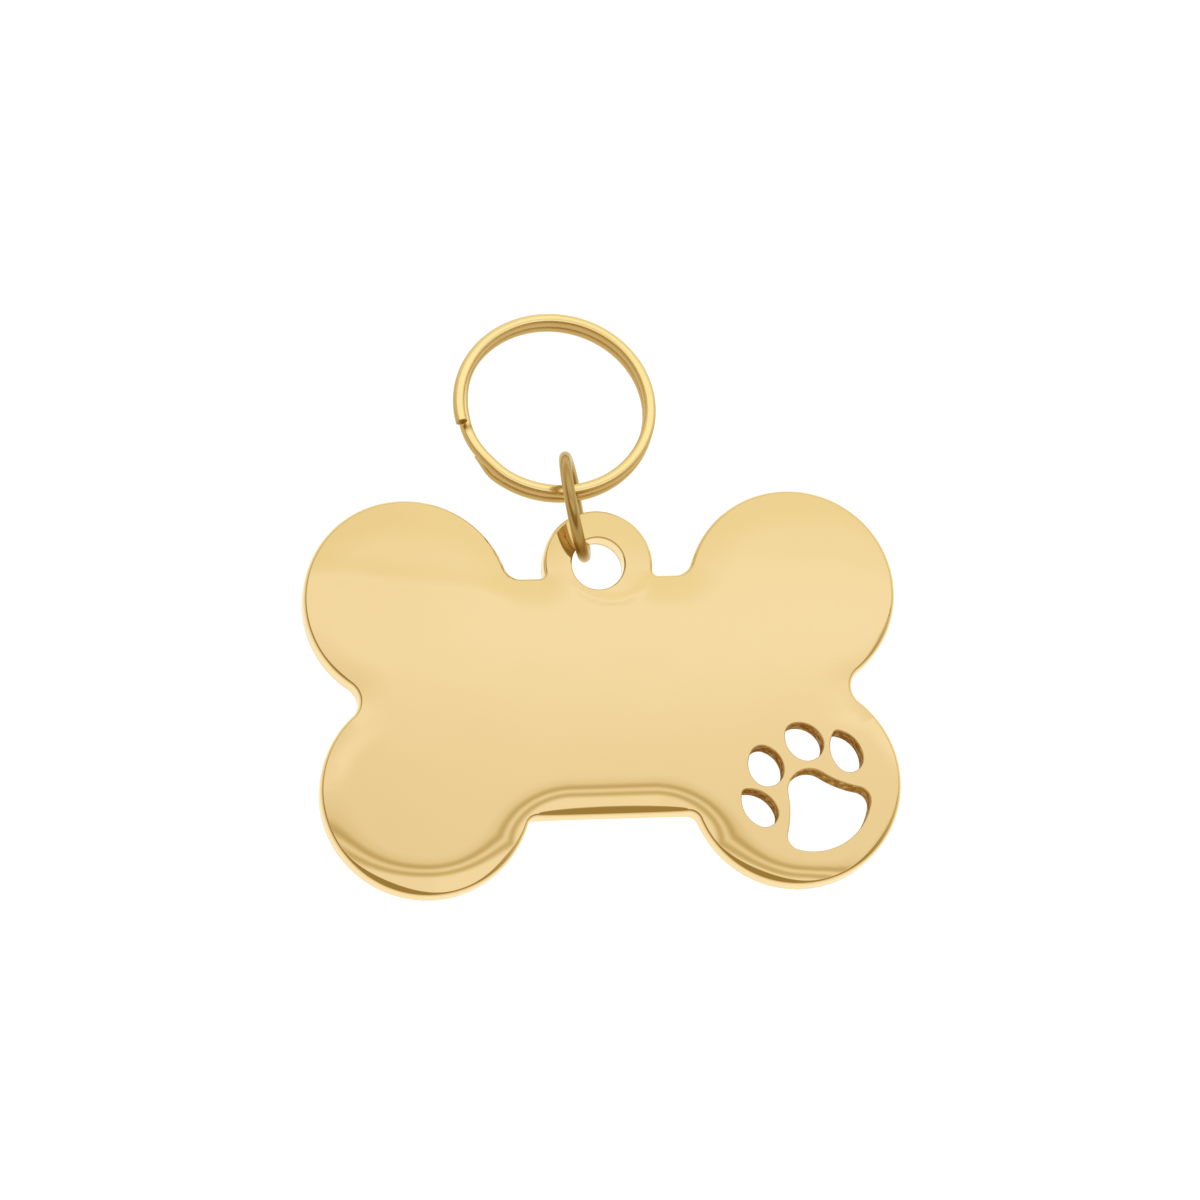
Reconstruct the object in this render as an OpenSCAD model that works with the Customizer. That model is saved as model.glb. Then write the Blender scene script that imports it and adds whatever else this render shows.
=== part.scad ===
// Pet identity tag: a bone-shaped plate with a paw cut-out, hung on a jump
// ring and a split ring. Millimetres. X runs along the bone, Y towards the lug
// and Z out of the front face. The origin is on the back face, at the waist.

/* [Plate] */
// Width over the upper pair of lobes
upper_w = 40; // [32:0.5:56]
// Width over the lower pair of lobes
lower_w = 39.1; // [32:0.1:56]
// Radius of the upper lobes
upper_lobe_r = 7; // [5:0.1:8]
// Radius of the lower lobes
lower_lobe_r = 7.1; // [5:0.1:8]
// Height of the upper lobe centres above the waist
upper_lobe_y = 6.75; // [5.5:0.05:7.2]
// Depth of the lower lobe centres below the waist
lower_lobe_y = 6.4; // [5.5:0.05:7.2]
// Height of the bar's upper edge above the waist
bar_top = 8.1; // [6.5:0.1:10]
// Depth of the bar's lower edge below the waist
bar_bottom = 8.3; // [6.5:0.1:10]
// Thickness of the plate
plate_t = 1.8; // [1.2:0.1:2.4]
// Fillet between the bar and the upper lobes
upper_fillet_r = 1.2; // [0.5:0.1:2]
// Fillet between the bar and the lower lobes
lower_fillet_r = 0.75; // [0.5:0.05:2]
// Fillet where two lobes meet at the waist
waist_fillet_r = 1.4; // [0.5:0.1:2]

/* [Lug] */
// Height of the lug's centre above the waist
lug_y = 9; // [8:0.1:12]
// Outer radius of the lug
lug_r = 3.7; // [3.3:0.1:4.2]
// Diameter of the hole for the jump ring
lug_hole_d = 3.54; // [3:0.02:4]
// Fillet between the lug and the bar
lug_fillet_r = 0.4; // [0.2:0.05:1]
// Rounding of the hole's rims
hole_edge_r = 0.12; // [0.05:0.01:0.3]

/* [Paw cut-out] */
// Distance of the pad's middle outward from the centre of the lower right lobe
paw_out = 1.8; // [0.5:0.05:2.2]
// Depth of the pad's middle below the centre of the lobe
paw_drop = 2.2; // [1:0.1:2.4]
// Turn of the paw, anticlockwise, in degrees
paw_turn = 31; // [0:1:60]
// Radius of the pad's front end
pad_front_r = 1.5; // [1:0.05:1.8]
// Distance of that end's centre ahead of the middle
pad_front_y = 1.75; // [1.2:0.05:2]
// Radius of the pad's two rear corners
pad_rear_r = 0.95; // [0.6:0.05:1.2]
// Distance of the rear corners' centres from the axis
pad_rear_x = 2.25; // [1.8:0.05:2.5]
// Distance of the rear corners' centres behind the middle
pad_rear_y = 0.5; // [0.2:0.05:0.8]
// Distance of the pad's rear edge behind the middle
pad_back_y = 2.43; // [2:0.01:2.7]
// Radius of the hollow flanks of the pad
pad_flank_r = 7; // [4:0.5:20]
// Length of each inner toe
inner_toe_l = 2.86; // [2.4:0.02:3]
// Radius of its rear end
inner_toe_rear_r = 1.12; // [0.9:0.01:1.15]
// Radius of its front end
inner_toe_front_r = 0.8; // [0.5:0.01:1]
// Radius of its flanks
inner_toe_flank_r = 1.7; // [1.5:0.05:4]
// Distance of its middle from the axis
inner_toe_x = 1.57; // [1.45:0.01:1.7]
// Distance of its middle ahead of the pad's
inner_toe_y = 4.8; // [4.7:0.01:5]
// Lean of its front end towards the axis, in degrees
inner_toe_lean = 12; // [0:1:20]
// Length of each outer toe
outer_toe_l = 3.03; // [2.4:0.01:3.2]
// Radius of its rear end
outer_toe_rear_r = 0.92; // [0.7:0.01:1]
// Radius of its front end
outer_toe_front_r = 0.3; // [0.2:0.01:0.6]
// Radius of its flanks
outer_toe_flank_r = 2; // [1.9:0.05:4]
// Distance of its middle from the axis
outer_toe_x = 3.57; // [3.5:0.01:3.8]
// Distance of its middle ahead of the pad's
outer_toe_y = 2.72; // [2.6:0.01:2.9]
// Lean of its front end away from the axis, in degrees
outer_toe_lean = 8; // [0:1:15]

/* [Jump ring] */
// Outer diameter of the ring
jump_od = 7.62; // [7.4:0.02:9]
// Diameter of its round wire
jump_wire_d = 0.82; // [0.6:0.02:0.9]
// Width of the butt cut in the ring
jump_cut_w = 0.06; // [0.02:0.01:0.2]
// Place of the cut round the ring, in degrees from its far point over its front
jump_cut_turn = 255; // [240:5:300]
// Play between the ring's inside and the bar of the lug
jump_play = 0.13; // [0.1:0.01:0.3]
// Place on the lug where the ring hangs, in degrees left of its top
hang_turn = 24.9; // [0:0.1:30]
// Rise of the ring's middle over the bar, in degrees
jump_rise = 23; // [0:1:40]
// Lean of the ring out of the upright, in degrees
jump_lean = 12.9; // [0:0.1:20]
// Turn of the ring about the upright, in degrees
jump_yaw = 6.4; // [0:0.1:15]

/* [Split ring] */
// Outer diameter of the ring
split_od = 13.6; // [12:0.1:24]
// Radial width of its flat wire
split_wire_w = 0.68; // [0.5:0.02:1]
// Thickness of its flat wire
split_wire_t = 0.6; // [0.4:0.02:0.7]
// Corner rounding of its flat wire
split_wire_r = 0.18; // [0.05:0.01:0.24]
// Opening between the two turns of the wire
split_gap = 0.42; // [0.41:0.01:0.6]
// Place of the outer end of the front turn, in degrees from the ring's right
split_front_end = 193; // [185:1:215]
// Stretch between the two wire ends where the wire lies bare, in degrees
split_bare = 21; // [18:1:40]
// Stretch in which the wire steps from the rear turn to the front one, in degrees
split_step = 12; // [10:1:16]
// Play between the wire and the inside of the jump ring
split_play = 0.27; // [0.2:0.01:0.5]
// Place round the jump ring where the wire lies, in degrees below its front
split_seat_turn = 36.6; // [20:0.1:50]
// Place on the split ring that the jump ring holds, in degrees from its right
split_held_turn = 277.6; // [265:0.1:285]
// Drop of the split ring's far side, in degrees
split_drop = 11.7; // [0:0.1:20]
// Drop of its right side, in degrees
split_roll = 1.3; // [-5:0.1:5]

/* [Hidden] */
$fn = 96;

// One full turn, in degrees
turn = 360;
// Overrun of every cut beyond the face that it leaves
overrun = plate_t / 2;
// Depth by which an arc bites into the edge that it flows into, so that the two cross
bite = plate_t / 900;

// Plate: centres of the right-hand lobes and of the fillets between them
upper_lobe = [upper_w / 2 - upper_lobe_r, upper_lobe_y];
lower_lobe = [lower_w / 2 - lower_lobe_r, -lower_lobe_y];
waist_fillet = outer_meeting(
    lower_lobe, lower_lobe_r + waist_fillet_r, upper_lobe, upper_lobe_r + waist_fillet_r);
upper_fillet = inner_fillet(upper_lobe, upper_lobe_r, bar_top, upper_fillet_r);
lower_fillet = mirror_y(
    inner_fillet(mirror_y(lower_lobe), lower_lobe_r, bar_bottom, lower_fillet_r));

// Lug: its centre and the centre of the fillet on its right
lug = [0, lug_y];
lug_hole_r = lug_hole_d / 2;
lug_fillet_y = bar_top + lug_fillet_r;
lug_fillet_rise = lug_fillet_y - lug_y;
lug_fillet = [
    sqrt(pow(lug_r + lug_fillet_r, 2) - pow(lug_fillet_rise, 2)), lug_fillet_y];

// Jump ring: the bar of the lug that it goes round, and its own middle
jump_mid_r = (jump_od - jump_wire_d) / 2;
jump_inner_r = jump_od / 2 - jump_wire_d;
bar_mid_r = (lug_r + lug_hole_r) / 2;
bar_half_diagonal = norm([lug_r - lug_hole_r, plate_t]) / 2;
bar_middle = [
    -bar_mid_r * sin(hang_turn), lug_y + bar_mid_r * cos(hang_turn), plate_t / 2];
jump_arm = jump_inner_r - bar_half_diagonal - jump_play;
jump_middle = bar_middle + jump_arm * [0, cos(jump_rise), sin(jump_rise)];
jump_tilt = [0, -jump_lean, jump_yaw];
jump_cut_angle = turn * jump_cut_w / (2 * PI * jump_mid_r);

// Split ring: its wire's path and the point of it that the jump ring holds
split_mid_r = (split_od - split_wire_w) / 2;
split_pitch = split_wire_t + split_gap;
split_half_diagonal = norm([split_wire_w, split_pitch + split_wire_t]) / 2;
split_seat_r = jump_inner_r - split_half_diagonal - split_play;
split_tilt = [-split_drop, split_roll, 0];
split_rear_end = split_front_end + split_bare;
split_step_start = turn + split_front_end + (split_bare - split_step) / 3;
split_last = 2 * turn + split_front_end;
split_ring_step = 6;
split_step_step = 2;
split_angles = concat(
    [for (a = [split_rear_end : split_ring_step : split_step_start - split_step_step]) a],
    [for (a = [0 : split_step_step : split_step]) split_step_start + a],
    [for (a = [split_step_start + split_step + split_ring_step
               : split_ring_step
               : split_last - split_ring_step / 2]) a],
    [split_last]);

function mirror_x(p) = [-p.x, p.y];

function mirror_y(p) = [p.x, -p.y];

// Right-hand crossing of two circles, given by centres a and b and radii
function outer_meeting(a, ra, b, rb) =
    let (d = norm(b - a),
         along = (ra * ra - rb * rb + d * d) / (2 * d),
         side = sqrt(ra * ra - along * along),
         u = (b - a) / d)
    a + u * along + [u.y, -u.x] * side;

// Centre of the fillet between a lobe and the level edge y = level, on its left
function inner_fillet(lobe, lobe_r, level, fillet_r) =
    let (rise = level + fillet_r - lobe.y)
    [lobe.x - sqrt(pow(lobe_r + fillet_r, 2) - rise * rise), level + fillet_r];

module both_sides() {
    children();
    mirror([1, 0, 0])
        children();
}

// Outline of the bone's right-hand side, which reaches past the middle
module bone_side() {
    translate(upper_lobe)
        circle(upper_lobe_r);
    translate(lower_lobe)
        circle(lower_lobe_r);
    difference() {
        polygon([[-upper_fillet.x, 0], [-lower_fillet.x, -bar_bottom],
                 [lower_fillet.x, -bar_bottom], lower_fillet, lower_lobe, waist_fillet,
                 upper_lobe, upper_fillet, [upper_fillet.x, bar_top],
                 [-upper_fillet.x, bar_top]]);
        translate(upper_fillet)
            circle(upper_fillet_r + bite);
        translate(waist_fillet)
            circle(waist_fillet_r + bite);
        translate(lower_fillet)
            circle(lower_fillet_r + bite);
    }
}

// Right-hand side of the neck that flares from the lug into the bar
module neck_side() {
    difference() {
        polygon([[-lug_fillet.x / 2, 0], [lug_fillet.x, 0], lug_fillet, lug]);
        translate(lug_fillet)
            circle(lug_fillet_r + bite);
    }
}

// A cutter for a round hole with both of its rims rounded
module hole_cutter() {
    rotate_extrude()
        difference() {
            translate([0, -overrun])
                square([lug_hole_r + hole_edge_r, plate_t + 2 * overrun]);
            translate([lug_hole_r, hole_edge_r])
                square([2 * hole_edge_r, plate_t - 2 * hole_edge_r]);
            for (z = [hole_edge_r, plate_t - hole_edge_r])
                translate([lug_hole_r + hole_edge_r, z])
                    circle(hole_edge_r);
        }
}

// Outline of a toe: two end circles joined by bulging flanks, front end up
module toe(length, rear_r, front_r, flank_r) {
    pitch = length - rear_r - front_r;
    rear_reach = flank_r - rear_r;
    front_reach = flank_r - front_r;
    flank_y = (rear_reach * rear_reach - front_reach * front_reach + pitch * pitch) / (2 * pitch);
    flank_x = sqrt(rear_reach * rear_reach - flank_y * flank_y);
    low = -rear_r * flank_y / rear_reach;
    high = pitch + front_r * (pitch - flank_y) / front_reach;
    translate([0, rear_r - length / 2]) {
        circle(rear_r);
        translate([0, pitch])
            circle(front_r);
        intersection() {
            translate([-flank_x, flank_y])
                circle(flank_r - bite);
            translate([flank_x, flank_y])
                circle(flank_r - bite);
            translate([-flank_r, low])
                square([2 * flank_r, high - low]);
        }
    }
}

module paw() {
    both_sides() {
        translate([inner_toe_x, inner_toe_y])
            rotate(inner_toe_lean)
                toe(inner_toe_l, inner_toe_rear_r, inner_toe_front_r, inner_toe_flank_r);
        translate([outer_toe_x, outer_toe_y])
            rotate(-outer_toe_lean)
                toe(outer_toe_l, outer_toe_rear_r, outer_toe_front_r, outer_toe_flank_r);
    }
    pad();
}

// Outline of the pad: a front end and two rear corners, with hollow flanks
module pad() {
    front = [0, pad_front_y];
    rear = [pad_rear_x, -pad_rear_y];
    flank = outer_meeting(
        rear, pad_rear_r + pad_flank_r, front, pad_front_r + pad_flank_r);
    reach = pad_rear_r - pad_back_y;
    base_y = (reach * reach - rear.x * rear.x - rear.y * rear.y) / (2 * (reach - rear.y));
    base_r = base_y + pad_back_y;
    base = [0, base_y];
    beyond = base + (rear - base) * 2 * base_r / norm(rear - base);
    translate(front)
        circle(pad_front_r);
    both_sides()
        translate(rear)
            circle(pad_rear_r);
    difference() {
        polygon([front, mirror_x(flank), mirror_x(rear), rear, flank]);
        both_sides()
            translate(flank)
                circle(pad_flank_r + bite);
    }
    intersection() {
        translate(base)
            circle(base_r - bite);
        polygon([base, mirror_x(beyond), beyond]);
    }
}

module tag_plate() {
    color("#ecd08e")
        difference() {
            linear_extrude(plate_t)
                difference() {
                    union() {
                        both_sides() {
                            bone_side();
                            neck_side();
                        }
                        translate(lug)
                            circle(lug_r);
                    }
                    translate(lower_lobe + [paw_out, -paw_drop])
                        rotate(paw_turn)
                            paw();
                }
            translate(lug)
                hole_cutter();
        }
}

// The ring stands on edge: its own far point is up the page, its front faces +Z
module jump_ring() {
    color("#cfab62")
        translate(jump_middle)
            rotate(jump_tilt)
                rotate([90, 0, 90])
                    rotate_extrude(
                        start = jump_cut_turn + jump_cut_angle / 2, angle = turn - jump_cut_angle)
                        translate([jump_mid_r, 0])
                            circle(jump_wire_d / 2);
}

// Where the wire of the split ring lies inside the jump ring
function split_seat() =
    let (a = split_seat_r * cos(split_seat_turn),
         b = -split_seat_r * sin(split_seat_turn),
         out = -b * sin(jump_lean))
    jump_middle + [
        out * cos(jump_yaw) - a * sin(jump_yaw),
        out * sin(jump_yaw) + a * cos(jump_yaw),
        b * cos(jump_lean)];

// Height of the wire's middle at a place along it: low, a smooth step, then high
function coil_height(angle) =
    let (share = (angle - split_step_start) / split_step,
         s = min(max(share, 0), 1))
    split_pitch * (s * s * (3 - 2 * s) - 1 / 2);

// Section of the flat wire, as offsets across and along the ring's axis
function wire_section() = [
    for (corner = [0 : 3], along = [0 : 45 : 90])
        let (angle = corner * 90 + along,
             sx = (corner == 0 || corner == 3) ? 1 : -1,
             sy = corner < 2 ? 1 : -1)
        [sx * (split_wire_w / 2 - split_wire_r) + split_wire_r * cos(angle),
         sy * (split_wire_t / 2 - split_wire_r) + split_wire_r * sin(angle)]];

function coil_section(angle) = [
    for (p = wire_section())
        [(split_mid_r + p.x) * cos(angle), (split_mid_r + p.x) * sin(angle),
         coil_height(angle) + p.y]];

// Least distance between sections that lie over each other, a turn apart
function coil_least_gap() = min([
    for (a = split_angles, b = split_angles)
        if (abs(b - a - turn) < 2 * split_ring_step)
            min([for (p = coil_section(a), q = coil_section(b)) norm(q - p)])]);

echo(split_ring_least_gap = coil_least_gap());

// Two turns of flat wire in one piece, swept section by section
module coil() {
    sides = len(wire_section());
    rings = len(split_angles);
    points = [for (angle = split_angles) each coil_section(angle)];
    walls = [
        for (ring = [0 : rings - 2], side = [0 : sides - 1])
            let (next = (side + 1) % sides,
                 here = ring * sides,
                 there = here + sides)
            each [[here + side, there + next, there + side],
                  [here + side, here + next, there + next]]];
    first_end = [for (side = [sides - 1 : -1 : 0]) side];
    last_end = [for (side = [0 : sides - 1]) (rings - 1) * sides + side];
    polyhedron(points, concat(walls, [first_end, last_end]));
}

module split_ring() {
    color("#dfbd74")
        translate(split_seat())
            rotate(split_tilt)
                translate(-split_mid_r * [cos(split_held_turn), sin(split_held_turn), 0])
                    coil();
}

tag_plate();
jump_ring();
split_ring();
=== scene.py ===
"""A polished bone-shaped pet tag with a paw cut-out, on its jump ring and split ring.

Lengths in the named values are in millimetres, angles in degrees. X runs along the bone, Y towards
the lug and Z out of the front face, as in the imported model. The meshes are in metres.
"""
import math

import bpy
import numpy as np
from mathutils import Euler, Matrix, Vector
from mathutils.geometry import delaunay_2d_cdt


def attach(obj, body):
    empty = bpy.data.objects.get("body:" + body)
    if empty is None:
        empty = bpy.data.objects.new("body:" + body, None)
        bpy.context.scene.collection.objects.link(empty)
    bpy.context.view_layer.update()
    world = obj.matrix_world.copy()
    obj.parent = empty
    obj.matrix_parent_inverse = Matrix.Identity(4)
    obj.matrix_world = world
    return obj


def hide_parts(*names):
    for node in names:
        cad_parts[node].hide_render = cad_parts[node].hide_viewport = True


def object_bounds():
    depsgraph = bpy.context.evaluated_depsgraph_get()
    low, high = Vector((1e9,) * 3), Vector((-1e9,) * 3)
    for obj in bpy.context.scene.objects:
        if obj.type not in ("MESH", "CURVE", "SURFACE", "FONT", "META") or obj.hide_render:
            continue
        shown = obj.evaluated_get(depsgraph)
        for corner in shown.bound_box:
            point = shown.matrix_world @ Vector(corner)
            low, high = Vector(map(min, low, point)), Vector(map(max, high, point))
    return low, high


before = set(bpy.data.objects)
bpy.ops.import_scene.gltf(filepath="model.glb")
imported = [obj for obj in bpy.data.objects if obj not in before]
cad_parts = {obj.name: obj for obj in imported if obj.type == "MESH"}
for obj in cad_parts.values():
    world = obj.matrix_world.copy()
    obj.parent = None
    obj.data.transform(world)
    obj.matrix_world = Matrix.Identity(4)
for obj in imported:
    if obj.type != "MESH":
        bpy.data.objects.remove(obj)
cad_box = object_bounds()

MM = 0.001
QUARTER = math.pi / 2
FULL_TURN = 360.0

# A distance beyond everything, a difference that counts as none, the distance within which two
# points of a fill are one, and the share of a mesh step below which a stretch is left out
FAR = 1e3
NOTHING = 1e-6
SAME_POINT = 1e-7
SLIVER = 0.1

# Plate
PLATE_T = 1.8
UPPER_LOBE = np.array([13.0, 6.75])
UPPER_LOBE_R = 7.0
LOWER_LOBE = np.array([12.45, -6.4])
LOWER_LOBE_R = 7.1
BAR_TOP = 8.1
BAR_BOTTOM = -8.3
UPPER_FILLET_R = 1.2
LOWER_FILLET_R = 0.75
WAIST_FILLET_R = 1.4
LUG = np.array([0.0, 9.0])
LUG_R = 3.7
LUG_HOLE_R = 1.77
LUG_FILLET_R = 0.4

# Polished faces: how far their crown reaches in from the edge, its slope at the edge and the power
# by which it steepens. Its level lines follow a bone with wider hollows at the bar and with the
# paw's lobe set outward. At the plate's left and right ends its width and slope are down to the
# shares of their sides. It fades upward between two heights to a small share
CROWN_WIDTH = 2.65
CROWN_SLOPE = 9.0
CROWN_POWER = 1.2
CROWN_FILLET_R = 4.6
CROWN_PAW_SHIFT = np.array([0.5, -0.9])
CROWN_LEFT_SIDE = 0.75
CROWN_RIGHT_SIDE = 0.3
CROWN_FULL_Y = -6.0
CROWN_FADED_Y = -1.0
UPPER_CROWN = 0.1

# Faint bends of the faces: one across the upper left lobe, which falls towards the right, and one
# round the lug's foot. W is how wide and H how high a bend is
LOBE_BEND_Y = 6.8
LOBE_BEND_FALL = 0.145
LOBE_BEND_W = 0.9
LOBE_BEND_H = 0.004
FOOT_BEND = np.array([0.8, 9.6])
FOOT_BEND_R = 3.2
FOOT_BEND_W = 0.3
FOOT_BEND_H = 0.003

# Polished edges: a bevel and a round corner. The bevel leans in full BEVEL_TURN times as soon as it
# is crossed. It is widest halfway along the bar's lower edge, where the outline's normals have less
# than BAR_FACING in Y. Each polishing stroke has worn the lobes' edge where it faces one way: its
# direction, its half width in degrees and the bevel's greatest width. The higher STROKE_RISE, the
# nearer to a lobe's ends a stroke is whole
BEVEL_LEAN = 24.0
BEVEL_TURN = 2.5
BEVEL_LEAST = 0.05
BAR_BEVEL = 0.5
BAR_FACING = -0.9
STROKES = ((-114.0, 36.0, 0.35), (-38.0, 34.0, 0.24))
STROKE_RISE = 3.0
BACK_BEVEL = 0.08
CORNER_R = 0.3
LUG_HOLE_CORNER_R = 0.16
PAW_HOLE_CORNER_R = 0.09
HOLE_BEVEL = 0.02

# Dull metal and painted shade, as the greatest marks. It comes in where the sine of a wall's lean
# passes STEEP. On the paw holes' walls it is a dull cut and also painted shade, for the shadowed
# floor that they mirror. The outline's wall has a little painted shade, and the higher its clearing,
# the sooner it clears as it turns downward. The edge of the back has painted shade all round, which
# fades out upward between the heights of BACK_EDGE_TOP
STEEP = 0.7
EDGE_SHADE = 0.05
SHADE_CLEARING = 1.5
LUG_HOLE_DULL_AND_SHADE = 0.0
PAW_HOLE_DULL_AND_SHADE = 1.0
BACK_EDGE_SHADE = 0.3
BACK_EDGE_TOP = (0.5, 0.3)

# Mesh steps along the outline, along the holes and over the faces, the greatest turn from point to
# point of an arc and its fewest points, the rows over a bevel and again over a corner, the rows up
# a wall, and how many face steps the fill keeps off the edges
OUTLINE_STEP = 0.14
HOLE_STEP = 0.08
FACE_STEP = 0.32
ARC_STEP = 6.0
ARC_LEAST = 3
RIM_ROWS = 7
WALL_ROWS = 8
FACE_MARGIN = 0.6

# Paw: each toe is its middle's place, lean, length, rear and front end radii and flank radius
PAW = LOWER_LOBE + [1.8, -2.2]
PAW_TURN = 31.0
PAD_FRONT_R = 1.5
PAD_FRONT_Y = 1.75
PAD_REAR_R = 0.95
PAD_REAR = np.array([2.25, -0.5])
PAD_BACK_Y = 2.43
PAD_FLANK_R = 7.0
INNER_TOE = dict(
    middle=(1.57, 4.8), lean=12.0, length=2.86, rear_r=1.12, front_r=0.8, flank_r=1.7)
OUTER_TOE = dict(
    middle=(3.57, 2.72), lean=-8.0, length=3.03, rear_r=0.92, front_r=0.3, flank_r=2.0)

# Wires: the rows of a rounded end, and the axes' order of a ring that lies or stands on edge
WIRE_END_ROWS = 5
LYING = [0, 1, 2]
ON_EDGE = [2, 0, 1]

# Jump ring. Its two ends lie side by side at the cut, because the rear part is bent sideways. It
# has painted shade where it goes into the lug's hole, at a turn that counts on from the cut's
JUMP_MIDDLE = (-1.3015, 13.0488, 1.5019)
JUMP_TILT = (0.0, -12.9, 6.4)
JUMP_MID_R = 3.4
JUMP_WIRE_R = 0.41
JUMP_CUT_TURN = 255.0
JUMP_CUT = 0.06
JUMP_END_ROUND = 0.1
JUMP_BEND = 0.1
JUMP_BEND_FROM = 318.0
JUMP_BEND_OVER = 35.0
JUMP_SHADE = 0.8
JUMP_SHADE_TURN = 520.0
JUMP_SHADE_OVER = 18.0
JUMP_STEP = 2.5
JUMP_AROUND = 28

# Split ring. Its angles count from the front end: the wire begins past a bare stretch, and climbs
# over a step. It is sprung inward where it climbs, spread outward towards the front end and tucked
# in at the rear end, each over its own angle. It has painted shade in the nook behind the
# front end and on its inner and outer sides
SPLIT_MIDDLE = (-1.956, 20.666, -0.847)
SPLIT_TILT = (-10.5, 1.3, 0.0)
SPLIT_MID_R = 6.47
SPLIT_WIRE_W = 0.8
SPLIT_WIRE_T = 0.84
SPLIT_WIRE_ROUND = 0.26
SPLIT_WIRE_FULL = 24.0
SPLIT_PITCH = 0.83
SPLIT_FRONT_END = 190.0
SPLIT_BARE = 20.0
SPLIT_STEP = 36.0
SPLIT_END_ROUND = 0.05
SPLIT_SPRUNG = 0.3
SPLIT_SPRUNG_OVER = 50.0
SPLIT_SPREAD = 0.1
SPLIT_SPREAD_OVER = 100.0
SPLIT_TUCKED = 0.32
SPLIT_TUCKED_OVER = 18.0
SPLIT_NOOK = 2.2
SPLIT_NOOK_SHADE = 0.8
SPLIT_SIDE_SHADE = 0.8
SPLIT_SIDE_FROM = 0.4
SPLIT_SIDE_OVER = 0.5
SPLIT_ROW_STEP = 1.5
SPLIT_AROUND_STEP = 0.1

# Metal: the colour that it keeps where it is seen at a grazing angle, the scale of the specks on a
# cut, and the levels of noise between which they fade
EDGE_TINT = (1.0, 0.96, 0.8, 1.0)
SPECK_SCALE = 2600.0
SPECK_RANGE = (0.7, 0.45)

# Camera: its turns, its aim on the plate in its own right and up directions, its distance, and the
# distances between which it sees
CAMERA_TURN = (14.91, -7.153, -3.495)
CAMERA_AIM = (-0.203, 6.703)
CAMERA_DISTANCE = 600.0
CAMERA_LENS = 268.44
CAMERA_SENSOR = 36.0
CAMERA_CLIP = (10.0, 20000.0)

# Studio: the broad light's direction as turns about X and then Y, the angles from its middle
# between which it ends, the room's level beyond it, the powers that warm its dim parts, and the
# levels of its stripes by their lean from straight up towards the lug. Its left part is dimmer, its
# light beyond the yellow edge lacks a share of blue, and pale walls stand all round, up to the
# heights of the wall's soft edge on a ball of radius 1
LIGHT_TURN = (-20.0, 10.0, 0.0)
LIGHT_EDGE = (38.0, 54.0)
ROOM_LEVEL = 0.38
WARMTH = (1.3, 2.2)
STRIPES = (
    (-30.0, 0.92), (-12.0, 0.98), (4.0, 0.98), (6.1, 0.63), (7.7, 0.92), (9.3, 0.6),
    (11.2, 0.86), (13.4, 0.92), (14.0, 0.97), (14.4, 1.04), (14.6, 1.02), (15.0, 0.975),
    (15.7, 0.945), (30.0, 1.05), (60.0, 1.0))
LEFT_DIM = 0.03
LEFT_EDGE = (6.4, 7.6)
YELLOW_SHARE = 0.1
YELLOW_EDGE = (14.6, 15.4)
WALL_LEVEL = 0.82
WALL_EDGE = (0.72, 0.4)
WHITE = (1.0, 1.0, 1.0, 1.0)

# Floor: half its width, its colour under the light and the strength of the white that it shows
FLOOR_HALF = 3000.0
FLOOR_MATT = (0.9, 0.9, 0.9, 1.0)
FLOOR_WHITE = 1.045


# Flat outlines


def unit(angle):
    """Unit vectors at the angles: cosine and sine."""
    return np.stack([np.cos(angle), np.sin(angle)], axis=-1)


def flipped(p):
    """The point mirrored in the Y axis."""
    return np.array([-p[0], p[1]])


def meeting(a, ra, b, rb):
    """The right-hand crossing of two circles, seen from centre a towards centre b.

    Its way along the line of centres is (ra squared less rb squared plus the gap squared) over twice
    the gap, and its way off that line makes ra with it.
    """
    a, b = np.array(a, float), np.array(b, float)
    gap = np.linalg.norm(b - a)
    u = (b - a) / gap
    along = (ra * ra - rb * rb + gap * gap) / (2 * gap)
    side = math.sqrt(ra * ra - along * along)
    return a + u * along + np.array([u[1], -u[0]]) * side


def level_fillet(lobe, lobe_r, level, fillet_r):
    """Centre of the fillet left of a lobe that also touches the level edge, from outside.

    It is the fillet's radius beyond the edge, and the sum of both radii from the lobe's centre.
    """
    y = level + math.copysign(fillet_r, level)
    rise = y - lobe[1]
    return np.array([lobe[0] - math.sqrt((lobe_r + fillet_r) ** 2 - rise * rise), y])


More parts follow.
